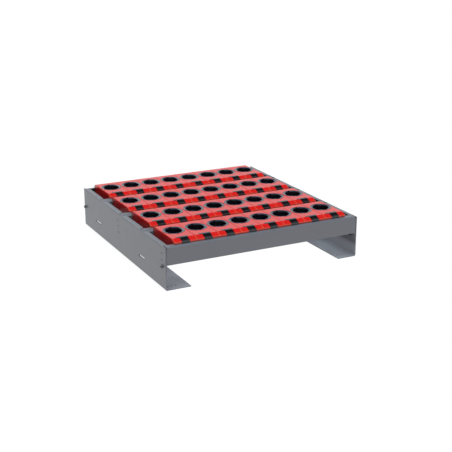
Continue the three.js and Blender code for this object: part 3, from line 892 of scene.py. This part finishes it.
def block_housing():
    start = back_start()
    rounding = arc(
        start,
        TOP_BACK_HEIGHT - BACK_ROUNDING_RADIUS,
        BACK_ROUNDING_RADIUS,
        math.pi / 2,
        math.pi / 2 - BACK_ROUNDING_TURN,
        BACK_ROUNDING_STEPS,
    )
    back_seat = SEAT_GAP - LEDGE_STEP
    outside = [
        (-FRONT_REACH, SEAT_GAP),
        (-FRONT_REACH, LIP_HEIGHT),
        (-TOP_FRONT_REACH, TOP_FRONT_HEIGHT),
        *rounding,
        (BACK_REACH, back_seat),
        (BODY_BACK_REACH, back_seat),
        (BODY_BACK_REACH, -BODY_DROP),
        (-BODY_FRONT_REACH, -BODY_DROP),
        (-BODY_FRONT_REACH, SEAT_GAP),
    ]
    half = BLOCK_WIDTH / 2
    housing = prism("block", outside, "x", -half, half)
    rounded(housing, BLOCK_EDGE, BLOCK_EDGE_SEGMENTS, BLOCK_EDGE_ANGLE)
    front_wall = -BODY_FRONT_REACH + BLOCK_WALL
    back_wall = BODY_BACK_REACH - BLOCK_WALL
    under = -BODY_DROP - CUT
    inside = [
        (front_wall, under),
        (front_wall, LIP_HEIGHT),
        (-TOP_FRONT_REACH, TOP_FRONT_HEIGHT - BLOCK_TOP_WALL),
        (start, TOP_BACK_HEIGHT - BLOCK_TOP_WALL),
        (back_wall, TOP_BACK_HEIGHT - BACK_ROUNDING_RADIUS / 2),
        (back_wall, under),
    ]
    hollow = half - BLOCK_WALL
    cavity = prism("cavity", inside, "x", -hollow, hollow)
    opening = prism(
        "opening",
        circle(0, 0, RIM_RADIUS + RIM_GAP, POCKET_SIDES),
        "z",
        -CUT,
        RIM_HEIGHT + CUT,
    )
    cut(housing, [cavity])
    cut(housing, [opening])
    return shaded(housing)


def pocket_insert():
    """A slightly dished rim with a rounded outer edge, over a sleeve tapered 7 in 24."""
    length = RIM_HEIGHT + SLEEVE_DROP
    end_radius = POCKET_RADIUS - length * TAPER_PER_LENGTH / 2
    rim_under = RIM_HEIGHT - RIM_THICKNESS
    neck = POCKET_RADIUS + SLEEVE_WALL - RIM_THICKNESS * TAPER_PER_LENGTH / 2 - SEAT_GAP
    edge = arc(RIM_RADIUS - RIM_EDGE, RIM_HEIGHT - RIM_EDGE, RIM_EDGE, 0, math.pi / 2, EDGE_STEPS)
    dish = RIM_HEIGHT - RIM_DISH
    mouth = POCKET_RADIUS - (RIM_DISH + POCKET_CHAMFER) * TAPER_PER_LENGTH / 2
    profile = [
        (end_radius, -SLEEVE_DROP),
        (end_radius + SLEEVE_WALL - RIM_EDGE / 2, -SLEEVE_DROP),
        (end_radius + SLEEVE_WALL, -SLEEVE_DROP + RIM_EDGE / 2),
        (neck, rim_under),
        (RIM_RADIUS, rim_under),
        *edge,
        (POCKET_RADIUS + POCKET_CHAMFER, dish),
        (mouth, dish - POCKET_CHAMFER),
    ]
    insert = lathe("insert", profile, POCKET_SIDES, True)
    half = KEY_NOTCH_WIDTH / 2
    floor = RIM_HEIGHT - KEY_NOTCH_DEPTH
    start = POCKET_RADIUS - 2 * CUT
    end = RIM_RADIUS - KEY_NOTCH_WALL
    top = RIM_HEIGHT + CUT
    front_notch = box_solid("notch", -half, half, -end, -start, floor, top)
    rear_notch = box_solid("notch", -half, half, start, end, floor, top)
    return shaded(cut(insert, [front_notch, rear_notch]))


def label_holder():
    """A tab on the block's top, a plate down its sloping front with a bare window, and a foot on its lip."""
    tab_back = LABEL_TAB_DEPTH - TOP_FRONT_REACH
    tab_over = [
        (tab_back, block_top_at(tab_back) - LABEL_PROUD),
        (tab_back, block_top_at(tab_back) + LABEL_PROUD),
        (-TOP_FRONT_REACH, TOP_FRONT_HEIGHT + LABEL_PROUD),
    ]
    front = -FRONT_REACH - LABEL_PROUD
    foot_back = -FRONT_REACH + LABEL_PROUD
    foot = SEAT_GAP + LABEL_FOOT_LIFT
    plate_outline = [
        *tab_over,
        (front, LIP_HEIGHT + LABEL_PROUD),
        (front, foot),
        (foot_back, foot),
        (foot_back, LIP_HEIGHT - LABEL_PROUD),
    ]
    tab_outline = [*tab_over, (-TOP_FRONT_REACH, TOP_FRONT_HEIGHT - LABEL_PROUD)]
    half = LABEL_WIDTH / 2
    half_tab = LABEL_TAB_WIDTH / 2
    plate = prism("label", plate_outline, "x", -half, half)
    tab = prism("tab", tab_outline, "x", -half_tab - LABEL_TAB_SHIFT, half_tab - LABEL_TAB_SHIFT)
    join(plate, [tab])
    rounded(plate, LABEL_EDGE)
    slope = Vector((front + TOP_FRONT_REACH, LIP_HEIGHT - TOP_FRONT_HEIGHT)).normalized()
    normal = Vector((slope.y, -slope.x))
    top_corner = Vector((-TOP_FRONT_REACH, TOP_FRONT_HEIGHT + LABEL_PROUD))
    low_corner = Vector((front, LIP_HEIGHT + LABEL_PROUD))
    window_top = top_corner + slope * LABEL_WINDOW_MARGIN
    window_low = low_corner - slope * LABEL_WINDOW_MARGIN
    window = [
        window_top - normal * LABEL_WINDOW_DEPTH,
        window_top + normal * CUT,
        window_low + normal * CUT,
        window_low - normal * LABEL_WINDOW_DEPTH,
    ]
    reach = half - LABEL_WINDOW_MARGIN
    cut(plate, [prism("window", [tuple(point) for point in window], "x", -reach, reach)])
    return shaded(plate)


# Fasteners, turned about Z with the head's seat at 0 and the head below


def cap_screw():
    length = SIDE_SHEET + RAIL_SHEET + NUT_HEIGHT + SCREW_END
    head = arc(
        SCREW_HEAD_RADIUS - SCREW_HEAD_EDGE,
        SCREW_HEAD_EDGE - SCREW_HEAD_HEIGHT,
        SCREW_HEAD_EDGE,
        -math.pi / 2,
        0,
        EDGE_STEPS,
    )
    profile = [*head, (SCREW_HEAD_RADIUS, 0), (SCREW_RADIUS, 0), (SCREW_RADIUS, SIDE_SHEET + RAIL_SHEET)]
    z = SIDE_SHEET + RAIL_SHEET
    while z + THREAD_PITCH < length:
        profile.append((SCREW_RADIUS - THREAD_DEPTH, z + THREAD_PITCH / 2))
        profile.append((SCREW_RADIUS, z + THREAD_PITCH))
        z += THREAD_PITCH
    profile.append((SCREW_RADIUS - THREAD_DEPTH, length))
    screw = lathe("screw", profile, SCREW_SIDES, False)
    socket_end = SCREW_SOCKET_DEPTH - SCREW_HEAD_HEIGHT
    hexagon = circle(0, 0, SCREW_SOCKET_RADIUS, HEX_SIDES)
    socket = prism("socket", hexagon, "z", -SCREW_HEAD_HEIGHT - CUT, socket_end)
    return shaded(cut(screw, [socket]))


def hex_nut():
    start = SIDE_SHEET + RAIL_SHEET
    nut = prism("nut", circle(0, 0, NUT_RADIUS, HEX_SIDES), "z", start, start + NUT_HEIGHT)
    crown = [
        (NUT_RADIUS - NUT_CHAMFER, start - CUT),
        (NUT_RADIUS - NUT_CHAMFER, start),
        (NUT_RADIUS, start + NUT_CHAMFER),
        (NUT_RADIUS, start + NUT_HEIGHT - NUT_CHAMFER),
        (NUT_RADIUS - NUT_CHAMFER, start + NUT_HEIGHT),
        (NUT_RADIUS - NUT_CHAMFER, start + NUT_HEIGHT + CUT),
    ]
    combine(nut, [lathe("crown", crown, SCREW_SIDES, False)], "INTERSECT")
    bore = circle(0, 0, SCREW_HOLE_RADIUS, SCREW_SIDES)
    return shaded(cut(nut, [prism("bore", bore, "z", start - CUT, start + NUT_HEIGHT + CUT)]))


# The tray


def add_frame():
    for name, side in (("left", -1), ("right", 1)):
        panel = side_panel(f"{name}_panel", side)
        dress(panel, PAINT, "frame", "frame_paint", f"{name}_side_panel")
    dress(front_rail(), PAINT, "frame", "frame_paint", "front_rail")
    dress(rear_rail(), PAINT, "frame", "frame_paint", "rear_rail")
    for row in range(ROWS - 1):
        dress(cross_rail(row), PAINT, "frame", "frame_paint", f"cross_rail_{row + 1}")


def copies(master, names):
    """Copies of a piece that share its mesh. The master takes the first name."""
    made = [master]
    master.name = names[0]
    for name in names[1:]:
        other = bpy.data.objects.new(name, master.data)
        bpy.context.scene.collection.objects.link(other)
        made.append(other)
    return made


def add_holders():
    places = [(row, column) for row in range(ROWS) for column in range(COLUMNS)]
    tails = [f"r{row + 1}_c{column + 1}" for row, column in places]
    blocks = copies(block_housing(), [f"block_{tail}" for tail in tails])
    inserts = copies(pocket_insert(), [f"insert_{tail}" for tail in tails])
    labels = copies(label_holder(), [f"label_{tail}" for tail in tails])
    for i, (row, column) in enumerate(places):
        body = f"row_{row + 1}"
        for piece in (blocks[i], inserts[i], labels[i]):
            piece.location = (column_x(column), row_y(row), HEIGHT)
        dress(blocks[i], RED, body, "block_plastic", f"holder_{tails[i]}")
        dress(inserts[i], BLACK, body, "insert_plastic")
        dress(labels[i], LABEL, body, "label_plastic")


def add_fasteners():
    places = []
    for end, y in (("front", FRONT_HOLE_Y), ("rear", REAR_HOLE_Y)):
        for side_name, side in (("left", -1), ("right", 1)):
            places.append((f"{end}_{side_name}", side, y))
    screws = copies(cap_screw(), [f"{name}_cap_screw" for name, side, y in places])
    nuts = copies(hex_nut(), [f"{name}_hex_nut" for name, side, y in places])
    for screw, nut, (name, side, y) in zip(screws, nuts, places):
        for piece in (screw, nut):
            piece.location = (side * HALF_WIDTH, y, SCREW_LEVEL)
            piece.rotation_euler = (0, -side * math.pi / 2, 0)
        dress(screw, STEEL, "frame", "fastener_steel", f"{name}_screw")
        dress(nut, NUT_STEEL, "frame", "fastener_steel", f"{name}_nut")


# Floor, light and camera


def under_tray(nodes):
    """1 on the floor under the tray, falling softly to 0 at its edges."""
    place = nodes.add("ShaderNodeTexCoord").outputs["Object"]
    split = nodes.add("ShaderNodeSeparateXYZ")
    nodes.link(place, split.inputs["Vector"])
    insides = []
    for axis, reach in (("X", HALF_WIDTH), ("Y", (REAR - FRONT) / 2)):
        inside = nodes.add("ShaderNodeMapRange", interpolation_type="SMOOTHSTEP")
        inside.inputs["From Min"].default_value = reach
        inside.inputs["From Max"].default_value = reach - SHADE_EDGE
        nodes.link(nodes.math("ABSOLUTE", split.outputs[axis]), inside.inputs["Value"])
        insides.append(inside.outputs["Result"])
    return nodes.math("MULTIPLY", *insides)


def add_floor():
    """A white floor that glows like a light table, with a small share of plain white that takes a shadow.

    The camera sees it white all over, but it throws little light from under the tray.
    """
    half = FLOOR_SIZE / 2
    bm = bmesh.new()
    corners = [(-half, -half), (half, -half), (half, half), (-half, half)]
    bm.faces.new([bm.verts.new((x, y, -FLOOR_DROP)) for x, y in corners])
    floor = new_object("floor", bm)
    material = bpy.data.materials.new("white_floor")
    material.cycles.emission_sampling = "NONE"
    nodes = Nodes(material)
    plain = nodes.add("ShaderNodeBsdfDiffuse")
    plain.inputs["Color"].default_value = (FLOOR_WHITE, FLOOR_WHITE, FLOOR_WHITE, 1)
    thrown = nodes.between(under_tray(nodes), FLOOR_GLOW, FLOOR_GLOW * SHADE_SHARE)
    seen = nodes.add("ShaderNodeMix", data_type="FLOAT")
    nodes.link(nodes.add("ShaderNodeLightPath").outputs["Is Camera Ray"], seen.inputs["Factor"])
    nodes.link(thrown, seen.inputs["A"])
    seen.inputs["B"].default_value = FLOOR_GLOW
    glow = nodes.add("ShaderNodeEmission")
    nodes.link(seen.outputs["Result"], glow.inputs["Strength"])
    mix = nodes.add("ShaderNodeMixShader")
    mix.inputs["Fac"].default_value = FLOOR_GLOW_SHARE
    output = nodes.add("ShaderNodeOutputMaterial")
    nodes.link(plain.outputs["BSDF"], mix.inputs[1])
    nodes.link(glow.outputs["Emission"], mix.inputs[2])
    nodes.link(mix.outputs["Shader"], output.inputs["Surface"])
    floor.data.materials.append(material)


def glow_upwards(nodes, direction, start, end, low, high):
    """A glow that goes from low to high between two heights of the direction."""
    node = nodes.add("ShaderNodeMapRange")
    node.inputs["From Min"].default_value = start
    node.inputs["From Max"].default_value = end
    node.inputs["To Min"].default_value = low
    node.inputs["To Max"].default_value = high
    nodes.link(direction.outputs["Z"], node.inputs["Value"])
    return node.outputs["Result"]


def add_world():
    """White to the camera and an even soft light, with its own bright and dark parts in reflections.

    Reflections show white near the horizon and a soft box straight above, and are dark between them.
    """
    world = bpy.data.worlds.new("studio")
    world.cycles.sampling_method = "NONE"
    bpy.context.scene.world = world
    nodes = Nodes(world)
    path = nodes.add("ShaderNodeLightPath")
    direction = nodes.add("ShaderNodeSeparateXYZ")
    nodes.link(nodes.add("ShaderNodeTexCoord").outputs["Generated"], direction.inputs["Vector"])
    horizon = (HORIZON_GLOW_TOP, OVERHEAD_GLOW_START, HORIZON_GLOW, OVERHEAD_GLOW)
    low_glow = glow_upwards(nodes, direction, *horizon)
    top_glow = glow_upwards(nodes, direction, TOP_BOX_START, TOP_BOX_FULL, 0, TOP_BOX_GLOW)
    reflected = nodes.math("MAXIMUM", low_glow, top_glow)
    soft = nodes.add("ShaderNodeMix", data_type="FLOAT")
    soft.inputs["A"].default_value = SKY_LEVEL
    nodes.link(path.outputs["Is Glossy Ray"], soft.inputs["Factor"])
    nodes.link(reflected, soft.inputs["B"])
    strength = nodes.math("MAXIMUM", path.outputs["Is Camera Ray"], soft.outputs["Result"])
    background = nodes.add("ShaderNodeBackground")
    background.inputs["Color"].default_value = (*WHITE, 1)
    nodes.link(strength, background.inputs["Strength"])
    output = nodes.add("ShaderNodeOutputWorld")
    nodes.link(background.outputs["Background"], output.inputs["Surface"])


def add_suns():
    """Wide soft suns. A turn of 0 is in front of the tray."""
    for name, sun in SUNS.items():
        light = bpy.data.lights.new(name, "SUN")
        light.energy = sun["strength"]
        light.color = sun["colour"]
        light.angle = SUN_WIDTH
        turn, rise = sun["turn"], sun["rise"]
        reach = math.cos(rise)
        heading = Vector((reach * math.sin(turn), -reach * math.cos(turn), math.sin(rise)))
        lamp = bpy.data.objects.new(name, light)
        lamp.rotation_euler = heading.to_track_quat("Z", "Y").to_euler()
        bpy.context.scene.collection.objects.link(lamp)


def add_inner_light():
    """A weak soft light under the tray, for the light that bounces between its walls and a white table."""
    light = bpy.data.lights.new("inner_light", "AREA")
    light.shape = "RECTANGLE"
    light.size = INNER_LIGHT_WIDTH
    light.size_y = INNER_LIGHT_DEPTH
    light.energy = INNER_LIGHT_POWER
    light.color = INNER_LIGHT_COLOUR
    lamp = bpy.data.objects.new("inner_light", light)
    lamp.location = (0, INNER_LIGHT_PLACE, INNER_LIGHT_HEIGHT)
    lamp.visible_camera = False
    lamp.visible_glossy = False
    bpy.context.scene.collection.objects.link(lamp)


def add_camera():
    data = bpy.data.cameras.new("camera")
    data.lens = CAMERA_LENS
    data.sensor_width = SENSOR_WIDTH
    camera = bpy.data.objects.new("camera", data)
    camera.location = CAMERA_PLACE
    camera.rotation_euler = (math.pi / 2 - CAMERA_PITCH, 0, -CAMERA_HEADING)
    bpy.context.scene.collection.objects.link(camera)
    bpy.context.scene.camera = camera


bpy.context.scene.view_settings.view_transform = "Standard"
add_camera()
add_world()
add_floor()
add_suns()
add_inner_light()
add_frame()
add_holders()
add_fasteners()
